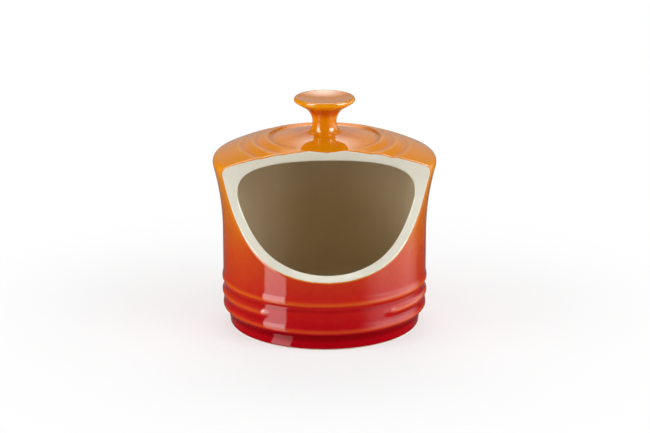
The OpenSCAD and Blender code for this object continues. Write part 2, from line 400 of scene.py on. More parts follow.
@dataclass(frozen=True)
class Scoop:
    """The cut of the mouth, seen from the side: an arc that opens into a wider one down the lower lip.

    Attributes:
        size: Sizes of the keeper.
        looks: Places along an outline at which the ends of the mouth are looked for.
        halvings: How often the step that holds such an end is halved.
    """

    FAR_Y = -1e3

    size: KeeperSizes
    looks: int = 4001
    halvings: int = 40

    @property
    def centre(self) -> tuple[float, float]:
        """Middle of the arc, as y and z."""
        return -self.size.mouth_back - self.size.mouth_r, self.size.mouth_z

    @property
    def low_centre(self) -> tuple[float, float]:
        """Middle of the wider arc.

        Returns:
            Its y and z.
        """
        k = self.size
        y, z = self.centre
        apart = k.mouth_r - k.low_lip_r
        return y + apart * math.cos(k.mouth_turn), z - apart * math.sin(k.mouth_turn)

    @staticmethod
    def bow(centre: tuple[float, float], r: float, z: np.ndarray) -> np.ndarray:
        """The y of an arc at a height, far in front where there is none."""
        inside = r**2 - (z - centre[1]) ** 2
        return np.where(inside > 0, centre[0] + np.sqrt(np.clip(inside, 0, None)), Scoop.FAR_Y)

    def front_y(self, z: np.ndarray, w: float) -> np.ndarray:
        """The y of the cut at a height.

        Args:
            z: Heights.
            w: Depth under the face of the lip.

        Returns:
            The y of the cut, far in front where there is none.
        """
        k = self.size
        turn_z = k.mouth_z - (k.mouth_r + w) * math.sin(k.mouth_turn)
        low = self.bow(self.low_centre, k.low_lip_r + w, z)
        return np.where(z > turn_z, self.bow(self.centre, k.mouth_r + w, z), low)

    def depth(self, y: np.ndarray, z: np.ndarray) -> np.ndarray:
        """How far points lie under the face of the lip.

        Args:
            y: Places along the Y axis.
            z: Heights.

        Returns:
            Depths, below 0 in the open mouth.
        """
        k = self.size
        (y0, z0), (y1, z1) = self.centre, self.low_centre
        high = (y - y0) * math.sin(k.mouth_turn) + (z - z0) * math.cos(k.mouth_turn) > 0
        return np.where(high, np.hypot(y - y0, z - z0) - k.mouth_r, np.hypot(y - y1, z - z1) - k.low_lip_r)

    def half_angle(self, r: np.ndarray, z: np.ndarray, w: float) -> np.ndarray:
        """Angle from the front to the mouth's edge, 0 where the wall is whole."""
        share = np.where(r > TINY, -self.front_y(z, w) / np.maximum(r, TINY), 1.0)
        return np.arccos(np.clip(share, -1, 1))

    def ends(self, outline: Outline, w: float) -> tuple[float, float]:
        """Where the mouth's edge crosses the front of an outline.

        Args:
            outline: The outline of the outside or the inside.
            w: Depth under the face of the lip.

        Returns:
            Distances along the outline of the lower and the upper crossing.
        """
        s = np.linspace(0, outline.length, self.looks)
        r, z = outline.at(s)
        wide = self.half_angle(r, z, w) > 0
        first, last = np.flatnonzero(wide)[[0, -1]]
        return self._cross(outline, w, s[first - 1], s[first]), self._cross(outline, w, s[last + 1], s[last])

    def _cross(self, outline: Outline, w: float, shut: float, wide: float) -> float:
        """Halves the step between a whole place and an open one.

        Args:
            outline: The outline of the outside or the inside.
            w: Depth under the face of the lip.
            shut: Distance along the outline where it is whole.
            wide: Distance along the outline where it is open.

        Returns:
            Distance along the outline where the mouth begins.
        """
        for _ in range(self.halvings):
            mid = (shut + wide) / 2
            r, z = outline.at(np.array([mid]))
            if self.half_angle(r, z, w)[0] > 0:
                wide = mid
            else:
                shut = mid
        return wide

    def edge(self, outline: Outline, w: float, steps: int) -> np.ndarray:
        """The edge of the mouth on its right-hand side, from low to high.

        Args:
            outline: The outline that the cut runs through.
            w: Depth under the face of the lip.
            steps: Number of steps.

        Returns:
            Distances along the outline.
        """
        low, high = self.ends(outline, w)
        return low + (high - low) * wave(np.linspace(0, 1, steps + 1))

    def edge_points(self, outline: Outline, w: float, steps: int) -> np.ndarray:
        """Points of the mouth's right-hand edge, from low to high.

        Args:
            outline: The outline that the cut runs through.
            w: Depth under the face of the lip.
            steps: Number of steps.

        Returns:
            Points in millimetres.
        """
        r, z = outline.at(self.edge(outline, w, steps))
        a = self.half_angle(r, z, w)
        a[[0, -1]] = 0
        return np.column_stack([r * np.sin(a), -r * np.cos(a), z])


class Workbench:
    """Mesh operators that the pieces share."""

    MERGE_M = 2e-7
    FLAT_M = 1e-8

    @staticmethod
    def clear() -> None:
        """Deselects everything."""
        bpy.ops.object.select_all(action="DESELECT")

    @staticmethod
    def pick(piece: bpy.types.Object) -> None:
        """Selects one piece and makes it active.

        Args:
            piece: The piece.
        """
        Workbench.clear()
        piece.select_set(True)
        bpy.context.view_layer.objects.active = piece

    @staticmethod
    def wrapped(name: str, points: np.ndarray, tints: dict[Tint, np.ndarray]) -> bpy.types.Object:
        """Adds a grid and wraps it on rows of points.

        Args:
            name: Name of the piece.
            points: Points in millimetres, as rows by columns by 3.
            tints: Values of each point attribute, as rows by columns.

        Returns:
            The piece, with its doubles merged and smooth.
        """
        rows, columns = points.shape[:2]
        Workbench.clear()
        bpy.ops.mesh.primitive_grid_add(x_subdivisions=columns - 1, y_subdivisions=rows - 1, size=1)
        piece = bpy.context.object
        piece.name = piece.data.name = name
        piece.data.vertices.foreach_set("co", (points * MM).astype(np.float32).ravel())
        for tint, values in tints.items():
            layer = piece.data.attributes.new(tint.value, "FLOAT", "POINT")
            layer.data.foreach_set("value", values.astype(np.float32).ravel())
        Workbench.close(piece)
        return piece

    @staticmethod
    def close(piece: bpy.types.Object) -> None:
        """Merges the doubles of a piece, drops what has no area and shades it smooth.

        Args:
            piece: The piece.
        """
        Workbench.pick(piece)
        bpy.ops.object.mode_set(mode="EDIT")
        bpy.ops.mesh.select_all(action="SELECT")
        bpy.ops.mesh.remove_doubles(threshold=Workbench.MERGE_M)
        bpy.ops.mesh.dissolve_degenerate(threshold=Workbench.FLAT_M)
        bpy.ops.object.mode_set(mode="OBJECT")
        bpy.ops.object.shade_smooth()

    @staticmethod
    def flip(piece: bpy.types.Object) -> None:
        """Turns all faces of a piece round.

        Args:
            piece: The piece.
        """
        Workbench.pick(piece)
        bpy.ops.object.mode_set(mode="EDIT")
        bpy.ops.mesh.select_all(action="SELECT")
        bpy.ops.mesh.flip_normals()
        bpy.ops.object.mode_set(mode="OBJECT")

    @staticmethod
    def join(piece: bpy.types.Object, others: list[bpy.types.Object]) -> None:
        """Joins other meshes into a piece.

        Args:
            piece: The piece, which keeps its name.
            others: The meshes.
        """
        Workbench.pick(piece)
        for other in others:
            other.select_set(True)
        bpy.ops.object.join()


@dataclass(frozen=True)
class Grain:
    """A cloudy pattern: how fine, how detailed and how rough it is."""

    scale: float
    detail: float = 2.0
    rough: float = 0.5


@dataclass(frozen=True)
class Ripple:
    """Unevenness of a surface: its pattern, its height in metres and its strength."""

    grain: Grain
    height_m: float
    strength: float


class Nodes:
    """A node tree that is put together step by step."""

    # Sockets of a mix of colours: its share, its two colours and its result
    MIX_INPUTS = (0, 6, 7)
    MIX_RESULT = 2

    def __init__(self, tree: bpy.types.NodeTree) -> None:
        """Takes the tree to work in.

        Args:
            tree: Node tree of a material or a world.
        """
        self.tree = tree

    def add(self, kind: str, **settings: object) -> bpy.types.Node:
        """Adds a node.

        Args:
            kind: Type of the node.
            **settings: Properties of the node.

        Returns:
            The node.
        """
        node = self.tree.nodes.new(kind)
        for key, value in settings.items():
            setattr(node, key, value)
        return node

    def link(self, start: Socket, end: Socket) -> None:
        """Links two sockets."""
        self.tree.links.new(start, end)

    def feed(self, socket: Socket, value: object) -> None:
        """Links a socket to another one, or sets its value.

        Args:
            socket: The socket to feed.
            value: A socket or a plain value.
        """
        if isinstance(value, Socket):
            self.link(value, socket)
        else:
            socket.default_value = value

    def axis(self, place: Socket, letter: str) -> Socket:
        """One axis of a place.

        Args:
            place: The place.
            letter: X, Y or Z.

        Returns:
            The coordinate.
        """
        split = self.add("ShaderNodeSeparateXYZ")
        self.link(place, split.inputs[0])
        return split.outputs[letter]

    def math(self, kind: str, a: object, b: object = 0.0) -> Socket:
        """A sum, product or other step of arithmetic.

        Args:
            kind: The operation.
            a: First value.
            b: Second value, where the operation has one.

        Returns:
            The result.
        """
        node = self.add("ShaderNodeMath", operation=kind)
        self.feed(node.inputs[0], a)
        self.feed(node.inputs[1], b)
        return node.outputs[0]

    def reach(self, x: Socket, y: Socket) -> Socket:
        """Distance of a place from the vertical axis."""
        return self.math("SQRT", self.math("ADD", self.math("MULTIPLY", x, x), self.math("MULTIPLY", y, y)))

    def spread(self, value: object, low: float, high: float, to_low: float = 0.0,
               to_high: float = 1.0) -> Socket:
        """A value mapped smoothly from one range to another, held at its ends.

        Args:
            value: The value.
            low: Start of its range.
            high: End of its range.
            to_low: Result at the start.
            to_high: Result at the end.

        Returns:
            The result.
        """
        node = self.add("ShaderNodeMapRange", interpolation_type="SMOOTHSTEP")
        for key, item in zip(("Value", "From Min", "From Max", "To Min", "To Max"),
                             (value, low, high, to_low, to_high)):
            self.feed(node.inputs[key], item)
        return node.outputs["Result"]

    def noise(self, place: Socket, grain: Grain) -> Socket:
        """A cloudy pattern from 0 to 1.

        Args:
            place: The place that it is read at.
            grain: The pattern.

        Returns:
            Its value.
        """
        node = self.add("ShaderNodeTexNoise")
        self.link(place, node.inputs["Vector"])
        node.inputs["Scale"].default_value = grain.scale
        node.inputs["Detail"].default_value = grain.detail
        node.inputs["Roughness"].default_value = grain.rough
        return node.outputs["Fac"]

    def swing(self, place: Socket, grain: Grain, span: float) -> Socket:
        """A cloudy pattern that swings about 0, as far as half its span each way."""
        return self.math("MULTIPLY", self.math("SUBTRACT", self.noise(place, grain), 0.5), span)

    def ramp(self, value: object, stops: Stops) -> Socket:
        """Colours along a value from 0 to 1.

        Args:
            value: The value.
            stops: Values and their colours, in order.

        Returns:
            The colour.
        """
        node = self.add("ShaderNodeValToRGB")
        elements = node.color_ramp.elements
        while len(elements) < len(stops):
            elements.new(0.5)
        for element, (at, colour) in zip(elements, stops):
            element.position = at
            element.color = (*colour, 1)
        self.feed(node.inputs[0], value)
        return node.outputs["Color"]

    def mix(self, share: object, a: object, b: object) -> Socket:
        """Two colours mixed.

        Args:
            share: Share of the second one.
            a: First colour.
            b: Second colour.

        Returns:
            The colour.
        """
        node = self.add("ShaderNodeMix", data_type="RGBA", clamp_factor=True)
        for at, item in zip(self.MIX_INPUTS, (share, a, b)):
            self.feed(node.inputs[at], (*item, 1) if isinstance(item, tuple) else item)
        return node.outputs[self.MIX_RESULT]


class Shader(Nodes):
    """A node material of one principled surface."""

    # How far a surface turns from the eye while its gloss fades, and the gloss before and after that
    GRAZING = (0.86, 0.99)
    GLOSS = (0.5, 0.05)

    def __init__(self, name: str) -> None:
        """Starts a material.

        Args:
            name: Name of the material.
        """
        self.material = bpy.data.materials.new(name)
        self.material.use_nodes = True
        super().__init__(self.material.node_tree)
        self.surface = self.tree.nodes["Principled BSDF"]

    def place(self) -> Socket:
        """Object coordinates."""
        return self.add("ShaderNodeTexCoord").outputs["Object"]

    def tint(self, tint: Tint) -> Socket:
        """A point attribute of the piece."""
        return self.add("ShaderNodeAttribute", attribute_name=tint.value).outputs["Fac"]

    def bump(self, place: Socket, ripple: Ripple) -> None:
        """Makes the surface a little uneven.

        Args:
            place: Object coordinates.
            ripple: The unevenness.
        """
        node = self.add("ShaderNodeBump")
        node.inputs["Strength"].default_value = ripple.strength
        node.inputs["Distance"].default_value = ripple.height_m
        self.link(self.noise(place, ripple.grain), node.inputs["Height"])
        self.link(node.outputs["Normal"], self.surface.inputs["Normal"])

    def finish(self, colour: Socket, roughness: float, ior: float) -> bpy.types.Material:
        """Sets the colour, gloss and index of the surface.

        Args:
            colour: The colour.
            roughness: Roughness of the surface.
            ior: Index of refraction.

        Returns:
            The material.
        """
        self.link(colour, self.surface.inputs["Base Color"])
        self.surface.inputs["Roughness"].default_value = roughness
        self.surface.inputs["IOR"].default_value = ior
        facing = self.add("ShaderNodeLayerWeight").outputs["Facing"]
        self.link(self.spread(facing, *self.GRAZING, *self.GLOSS), self.surface.inputs["Specular IOR Level"])
        return self.material


@dataclass(frozen=True)
class FlameGlaze:
    """The outer coat: yellow orange at the top, deep red at the foot, pale where it runs thin, darker where
    it pools and where shade is painted in.

    Attributes:
        name: Name of the material.
        roughness: Roughness of the surface.
        ior: Index of refraction.
        low_mm: Height at which the range of colours starts.
        top_mm: Height at which it ends.
        sink_mm: How far the colours sink at the front.
        sink_from_m: Distance in front of the axis at which they start to sink.
        sink_to_m: Distance at which they have sunk.
        plain: Thinness up to which the coat keeps its plain colour.
        cloud: Pattern by which the colours wander up and down.
        cloud_m: How far they wander.
        fleck: Pattern by which the coat's thickness varies.
        fleck_span: How much it varies.
        ripple: Unevenness of the surface.
        body: Colours of the plain coat by height in millimetres, with painted light on the dome and painted
            shade on the knob.
        thin: Colours where it runs thin.
        pooled_and_shade: Colours where it pools, also used as painted shade under the ribs, in the neck and
            under the knob's rim.
    """

    name: str = "flame_glaze"
    roughness: float = 0.05
    ior: float = 1.52
    low_mm: float = -12.0
    top_mm: float = 128.0
    sink_mm: float = 10.0
    sink_from_m: float = 0.026
    sink_to_m: float = 0.053
    plain: float = 0.08
    cloud: Grain = Grain(260, 3, 0.6)
    cloud_m: float = 0.012
    fleck: Grain = Grain(1500, 2, 0.6)
    fleck_span: float = 0.08
    ripple: Ripple = Ripple(Grain(95, 1, 0.4), 0.00004, 0.5)
    body: Stops = (
        (-10.0, linear(166, 0, 16)),
        (-3.00, linear(168, 0, 17)),
        (4.00, linear(172, 11, 20)),
        (13.0, linear(182, 26, 23)),
        (22.0, linear(183, 37, 24)),
        (34.0, linear(185, 56, 25)),
        (45.0, linear(189, 67, 25)),
        (54.0, linear(192, 84, 24)),
        (70.0, linear(197, 106, 20)),
        (84.0, linear(208, 122, 12)),
        # Painted light and shade: the dome's band from 94 to 103 mm is set lighter to make up for the knob's
        # shadow, and the knob from 109 mm darker partly for the shade under its rim.
        (94.0, linear(226, 136, 7)),
        (103.0, linear(227, 137, 7)),
        (109.0, linear(213, 126, 2)),
        (126.0, linear(214, 127, 3)),
    )
    thin: Stops = (
        (0.00, linear(203, 76, 30)),
        (20.0, linear(214, 99, 24)),
        (40.0, linear(224, 114, 20)),
        (90.0, linear(236, 158, 30)),
        (126.0, linear(236, 160, 14)),
    )
    # Painted shade: these darker colours stand for pooled glaze and also for the shade under ribs, in the
    # neck and under the knob's rim.
    pooled_and_shade: Stops = (
        (0.00, linear(136, 0, 8)),
        (20.0, linear(150, 6, 13)),
        (40.0, linear(160, 28, 14)),
        (90.0, linear(205, 92, 0)),
        (126.0, linear(180, 66, 0)),
    )

    def stops(self, colours: Stops) -> Stops:
        """Heights in millimetres as shares of the whole range."""
        return tuple(((z - self.low_mm) / (self.top_mm - self.low_mm), c) for z, c in colours)

    def share(self, s: Shader, place: Socket, drift: object = 0.0) -> Socket:
        """Height as a share of the whole range, lowered at the front, where the red is sprayed higher.

        Args:
            s: The material.
            place: Object coordinates.
            drift: How far the height is moved, in metres.

        Returns:
            The share.
        """
        front = s.math("MULTIPLY", s.axis(place, "Y"), -1.0)
        sunk = s.math("MULTIPLY", s.spread(front, self.sink_from_m, self.sink_to_m), self.sink_mm * MM)
        height = s.math("ADD", s.math("SUBTRACT", s.axis(place, "Z"), sunk), drift)
        height = s.math("SUBTRACT", height, self.low_mm * MM)
        return s.math("DIVIDE", height, (self.top_mm - self.low_mm) * MM)

    def material(self) -> bpy.types.Material:
        """Builds the finish from height, thickness of the coat and fine mottling, with painted shade under
        the ribs, in the neck and under the knob's rim.

        Returns:
            The material.
        """
        s = Shader(self.name)
        place = s.place()
        height = self.share(s, place, s.swing(place, self.cloud, self.cloud_m))
        coat = s.math("ADD", s.tint(Tint.THIN), s.swing(place, self.fleck, self.fleck_span))
        thin = s.spread(coat, self.plain, 1.0)
        # The darker share is pooled glaze and painted shade.
        pool_and_shade = s.spread(s.math("MULTIPLY", coat, -1.0), self.plain, 1.0)
        colour = s.ramp(height, self.stops(self.body))
        colour = s.mix(pool_and_shade, colour, s.ramp(height, self.stops(self.pooled_and_shade)))
        colour = s.mix(thin, colour, s.ramp(height, self.stops(self.thin)))
        s.bump(place, self.ripple)
        return s.finish(colour, self.roughness, self.ior)


@dataclass(frozen=True)
class CreamGlaze:
    """The lip's cream coat. The outer coat laps over its outer edge and ends there in a thin line.

    Attributes:
        name: Name of the material.
        roughness: Roughness of the surface.
        ior: Index of refraction.
        cream: Its colour.
        warm: Its colour in the clouds.
        cloud: Pattern of the clouds.
        amber: Colour of the lap's thin end.
        lap: The finish that laps over.
        lap_mm: How far it laps over.
        lap_soft_mm: How softly the lap ends.
        amber_from: Share of the lap at which it starts to turn amber.
        amber_to: Share of the lap at which it is amber.
        wander: Pattern by which the lap's end wanders.
        wander_mm: How far it wanders.
        ripple: Unevenness of the surface.
    """

    name: str = "cream_glaze"
    roughness: float = 0.07
    ior: float = 1.5
    cream: Colour = linear(224, 221, 207)
    warm: Colour = linear(218, 213, 194)
    cloud: Grain = Grain(150, 3, 0.55)
    amber: Colour = linear(198, 122, 34)
    lap: FlameGlaze = FlameGlaze()
    lap_mm: float = 1.2
    lap_soft_mm: float = 0.3
    amber_from: float = 0.4
    amber_to: float = 0.9
    wander: Grain = Grain(300)
    wander_mm: float = 0.5
    ripple: Ripple = Ripple(Grain(110, 1, 0.4), 0.00008, 0.4)

    def material(self) -> bpy.types.Material:
        """Builds the finish from the distance across the lip and soft clouds.

        Returns:
            The material.
        """
        s = Shader(self.name)
        place = s.place()
        cream = s.mix(s.noise(place, self.cloud), self.cream, self.warm)
        across = s.math("ADD", s.tint(Tint.ACROSS), s.swing(place, self.wander, self.wander_mm))
        flame = s.ramp(self.lap.share(s, place), self.lap.stops(self.lap.body))
        thin = s.spread(across, self.amber_from * self.lap_mm, self.amber_to * self.lap_mm)
        lapped = s.spread(across, self.lap_mm, self.lap_mm + self.lap_soft_mm, 1.0, 0.0)
        s.bump(place, self.ripple)
        return s.finish(s.mix(lapped, cream, s.mix(thin, flame, self.amber)), self.roughness, self.ior)


@dataclass(frozen=True)
class StoneGlaze:
    """The inner coat: a glossy stone colour with faint clouds."""

    name: str = "stone_glaze"
    roughness: float = 0.06
    ior: float = 1.5
    pale: Colour = linear(219, 202, 171)
    deep: Colour = linear(212, 194, 161)
    cloud: Grain = Grain(70, 4, 0.6)
    ripple: Ripple = Ripple(Grain(90, 1, 0.4), 0.0001, 0.4)

    def material(self) -> bpy.types.Material:
        """Builds the finish from soft clouds.

        Returns:
            The material.
        """
        s = Shader(self.name)
        place = s.place()
        s.bump(place, self.ripple)
        return s.finish(s.mix(s.noise(place, self.cloud), self.pale, self.deep), self.roughness, self.ior)


@dataclass(frozen=True)
class BareClay:
    """Fired clay with no glaze, as on the foot ring."""

    name: str = "fired_clay"
    roughness: float = 0.75
    ior: float = 1.45
    pale: Colour = linear(228, 214, 192)
    dark: Colour = linear(206, 186, 158)
    cloud: Grain = Grain(180)
    ripple: Ripple = Ripple(Grain(1400, 4, 0.7), 0.00012, 0.6)

    def material(self) -> bpy.types.Material:
        """Builds the finish from grain and clouds.

        Returns:
            The material.
        """
        s = Shader(self.name)
        place = s.place()
        speckle = s.math("MULTIPLY", s.noise(place, self.ripple.grain), s.noise(place, self.cloud))
        s.bump(place, self.ripple)
        return s.finish(s.mix(speckle, self.pale, self.dark), self.roughness, self.ior)


@dataclass(frozen=True)
class WhitePaper:
    """The pale paper that the keeper stands on, which turns plain white away from it.

    Attributes:
        name: Name of the material.
        roughness: Roughness of the surface.
        ior: Index of refraction, 1 for no gloss.
        colour: Colour of the paper.
        shade: Brightness of its grain beside that colour.
        grain: Pattern of the grain.
        near_m: Distance from the axis up to which the paper is least white.
        far_m: Distance at which it is plain white.
        near_white: How white it is near the keeper.
    """

    name: str = "white_paper"
    roughness: float = 0.9
    ior: float = 1.0
    colour: Colour = (0.92, 0.92, 0.92)
    shade: float = 0.985
    grain: Grain = Grain(40, 3)
    near_m: float = 0.05
    far_m: float = 0.24
    near_white: float = 0.6

    def material(self) -> bpy.types.Material:
        """Builds a matt white with a trace of grain, which shines white where it is looked at.

        Returns:
            The material.
        """
        s = Shader(self.name)
        place = s.place()
        away = s.reach(s.axis(place, "X"), s.axis(place, "Y"))
        path = s.add("ShaderNodeLightPath")
        seen = path.outputs["Is Camera Ray"]
        for ray in ("Is Glossy Ray", "Is Transmission Ray"):
            seen = s.math("MAXIMUM", seen, path.outputs[ray])
        white = s.math("MULTIPLY", seen, s.spread(away, self.near_m, self.far_m, self.near_white))
        s.surface.inputs["Emission Color"].default_value = (1, 1, 1, 1)
        s.link(white, s.surface.inputs["Emission Strength"])
        dim = tuple(c * self.shade for c in self.colour)
        paper = s.mix(s.noise(place, self.grain), self.colour, dim)
        return s.finish(s.mix(white, paper, (0.0, 0.0, 0.0)), self.roughness, self.ior)


@dataclass(frozen=True)
class Streak:
    """A soft line along a form, in which the coat runs thin; where the share is below 0 it pools, and some
    such lines are painted shade.

    Attributes:
        share: How thin the coat is in the middle of the line.
        offset: Distance from the form to the middle of the line, in millimetres.
        width: Width of the line, in millimetres.
    """

    share: float
    offset: float
    width: float

    def at(self, d: np.ndarray) -> np.ndarray:
        """Thinness at distances from the form."""
        return self.share * bell(d - self.offset, self.width)


@dataclass
class Coat:
    """A coat of glaze wrapped on an outline, with the mouth left open.

    Attributes:
        size: Sizes of the keeper.
        outline: The outline that is wrapped.
        scoop: The cut of the mouth.
        edge_depth: Depth under the face of the lip at which the coat ends.
        edge_steps: Rows along the mouth.
        columns: Columns round the keeper.
        crowd: Power that crowds the columns towards the mouth.
    """

    size: KeeperSizes
    outline: Outline
    scoop: Scoop
    edge_depth: float
    edge_steps: int = 240
    columns: int = 160
    crowd: float = 1.25

    def rows(self, low_step: float, high_step: float) -> np.ndarray:
        """Places of the rows along the outline, evenly spaced but close together round the mouth's ends.

        Args:
            low_step: Spacing below the mouth.
            high_step: Spacing above it.

        Returns:
            Distances along the outline.
        """
        edge = self.scoop.edge(self.outline, self.edge_depth, self.edge_steps)
        below = np.linspace(0, edge[0], int(edge[0] / low_step) + 1)[:-1]
        rest = self.outline.length - edge[-1]
        above = np.linspace(edge[-1], self.outline.length, int(rest / high_step) + 1)[1:]
        return np.concatenate([below, edge, above])

    def angles(self, s: np.ndarray) -> np.ndarray:
        """Angles of the points of each row, from the mouth's right edge round the back to its left edge.

        Args:
            s: Distances along the outline.

        Returns:
            Angles from the front, as rows by columns.
        """
        r, z = self.outline.at(s)
        low, high = self.scoop.ends(self.outline, self.edge_depth)
        start = np.where((s > low) & (s < high), self.scoop.half_angle(r, z, self.edge_depth), 0)
        u = np.linspace(-1, 1, self.columns + 1)
        u = np.sign(u) * (1 - (1 - np.abs(u)) ** self.crowd)
        return np.pi + (np.pi - start)[:, None] * u[None, :]

    @staticmethod
    def turned(r: np.ndarray, a: np.ndarray, z: np.ndarray) -> np.ndarray:
        """Points at radii, angles from the front and heights."""
        return np.stack([r * np.sin(a), -r * np.cos(a), np.broadcast_to(z, a.shape)], axis=-1)


@dataclass
class OuterCoat(Coat):
    """The coloured coat on the foot, ribs, wall, dome and knob, in millimetres and radians.

    Attributes:
        low_step: Spacing of the rows below the mouth.
        high_step: Spacing of the rows above it.
        rib_draw: How sharply the middle rib ends, under 1 for ends that are drawn out.
        band_top: Height under which the ribs lie.
        rib_thin: Thin line on the crest of a rib.
        rib_pool_and_shade: Darker line under a rib: partly pooled glaze, partly painted shade.
        neck_pool_and_shade: Darker line in the neck over the foot: partly pooled glaze, partly painted shade.
        ring_thin: Thin line on the crest of a ring of the dome.
        ring_pool: Pool inside a ring.
        ring_fade: How much the lines of the rings fade towards the back.
        fade_from: Angle from the front at which they start to fade.
        fade_over: Angle over which they fade.
        shoulder_thin: Thin line round the shoulder.
        shoulder_zone: Radius outside which the shoulder lies.
        knob_zone: Radius inside which the knob lies.
        knob_foot: How far over the edge of the dome's sunk middle the knob's lines start.
        rim_thin: Thin line round the rim of the knob.
        rim_depth: How far down the rim reaches.
        rim_width: How far in the rim reaches.
        stem_pool_and_shade: Darker coat under the rim of the knob: partly pooled glaze, partly painted shade.
        lap_zone: Radius outside which the lip evens out the coat.
        lap_width: How far from the lip it does so.
        lap_thin: Thin line beside the lip.
        lap_thin_zone: Radius outside which that line shows.
        lap_thin_z: Height at which that line starts.
        lap_thin_rise: Rise over which it grows to its full strength.
        thinnest: Highest value of thinness.
        base_round: Radius of the base coat's rounded rim.
        base_hang: How much lower the base coat hangs at its rim.
        base_rows: Rows of the rim and of the flat of the base coat.
        base_columns: Columns of the base coat.
    """

    low_step: float = 0.42
    high_step: float = 0.5
    rib_draw: float = 0.55
    band_top: float = 40.0
    rib_thin: Streak = Streak(0.6, 0.3, 1.7)
    # Painted shade: the pool under each rib also darkens the coat where shade falls under the rib.
    rib_pool_and_shade: Streak = Streak(-0.6, -3.3, 1.7)
    # Painted shade: the pool in the neck also darkens the coat where shade falls in the undercut over the
    # foot.
    neck_pool_and_shade: Streak = Streak(-0.75, -0.6, 2.2)
    ring_thin: Streak = Streak(0.7, 0.0, 0.8)
    ring_pool: Streak = Streak(-0.45, -2.0, 1.4)
    ring_fade: float = 0.7
    fade_from: float = 1.4
    fade_over: float = 0.9
    shoulder_thin: Streak = Streak(0.35, -1.5, 3.0)
    shoulder_zone: float = 55.0
    knob_zone: float = 24.0
    knob_foot: float = 4.0
    rim_thin: Streak = Streak(0.5, 0.0, 1.0)
    rim_depth: float = 3.0
    rim_width: float = 3.0
    # Painted shade: the pool under the knob's rim also darkens the stem where shade falls under the rim.
    stem_pool_and_shade: Streak = Streak(-0.9, -6.5, 4.0)
    lap_zone: float = 25.0
    lap_width: float = 1.2
    lap_thin: Streak = Streak(0.4, 0.0, 2.6)
    lap_thin_zone: float = 50.0
    lap_thin_z: float = 42.0
    lap_thin_rise: float = 20.0
    thinnest: float = 1.2
    base_round: float = 1.2
    base_hang: float = 0.5
    base_rows: tuple[int, int] = (8, 40)
    base_columns: int = 128

    @staticmethod
    def from_front(a: np.ndarray) -> np.ndarray:
        """Angles from the front to either side."""
        return np.pi - np.abs(np.pi - a)

    def middle_rib(self, a: np.ndarray, z: np.ndarray) -> np.ndarray:
        """How much of the middle rib stands at each point.

        Args:
            a: Angles from the front.
            z: Heights.

        Returns:
            Values from 1 on its crest to 0 off it.
        """
        k = self.size
        short = np.clip(k.rib_half - (self.from_front(a) - k.rib_gap) * k.band_r, 0, None)
        off = np.hypot(z - k.rib_mid_z, self.rib_draw * short)
        return 1 - wave(np.clip(off / k.rib_half, 0, 1))

    def thin_on_band(self, r: np.ndarray, a: np.ndarray, z: np.ndarray) -> np.ndarray:
        """Thinness on the ribs and in the neck, with painted shade under the ribs and in the neck.

        Args:
            r: Radii.
            a: Angles from the front.
            z: Heights.

        Returns:
            Values from about -1 to 1.
        """
        k = self.size
        ends = np.clip((self.from_front(a) - k.rib_gap) * k.band_r / k.rib_half, 0, 1)
        value = np.zeros_like(a)
        for crest, share in ((k.rib_z, 1.0), (k.rib_mid_z, ends), (k.rib_top_z, 1.0)):
            value += share * (self.rib_thin.at(z - crest) + self.rib_pool_and_shade.at(z - crest))
        return value * (z < self.band_top) + self.neck_pool_and_shade.at(z - k.neck_z) * (r < k.band_r)

    def thin_on_dome(self, r: np.ndarray, a: np.ndarray, z: np.ndarray) -> np.ndarray:
        """Thinness on the rings of the dome and round the shoulder.

        Args:
            r: Radii.
            a: Angles from the front.
            z: Heights.

        Returns:
            Values from about -1 to 1.
        """
        k = self.size
        behind = wave(np.clip((self.from_front(a) - self.fade_from) / self.fade_over, 0, 1))
        value = np.zeros_like(a)
        for ridge in k.ridges:
            value += self.ring_thin.at(r - ridge) + self.ring_pool.at(r - ridge)
        value *= (1 - self.ring_fade * behind) * ((z > k.shoulder_z) & (r > self.knob_zone))
        return value + self.shoulder_thin.at(z - k.shoulder_z) * (r > self.shoulder_zone)

    def thin_on_knob(self, r: np.ndarray, z: np.ndarray) -> np.ndarray:
        """Thinness round the rim of the knob, and under it pooled glaze with painted shade.

        Args:
            r: Radii.
            z: Heights.

        Returns:
            Values from about -1 to 1.
        """
        k = self.size
        rim = self.rim_thin.at(r - k.knob_r) * (z > k.knob_top_z - self.rim_depth)
        stem = self.stem_pool_and_shade.at(z - k.knob_top_z) * (r < k.knob_r - self.rim_width)
        return (rim + stem) * ((z > k.pad_z + self.knob_foot) & (r < self.knob_zone))

    def thinness(self, r: np.ndarray, a: np.ndarray, z: np.ndarray) -> np.ndarray:
        """Thickness of the coat: above 0 where it runs thin, below 0 where it pools and where shade is
        painted in.

        Args:
            r: Radii.
            a: Angles from the front.
            z: Heights.

        Returns:
            Values from about -1 to 1.
        """
        value = self.thin_on_band(r, a, z) + self.thin_on_dome(r, a, z) + self.thin_on_knob(r, z)
        depth = np.clip(self.scoop.depth(-r * np.cos(a), z) - self.edge_depth, 0, None)
        even = np.where(r > self.lap_zone, bell(depth, self.lap_width), 0)
        beside = np.where(r > self.lap_thin_zone, self.lap_thin.at(depth), 0)
        beside = beside * wave(np.clip((z - self.lap_thin_z) / self.lap_thin_rise, 0, 1))
        return np.clip(value * (1 - even) + beside, -1, self.thinnest)

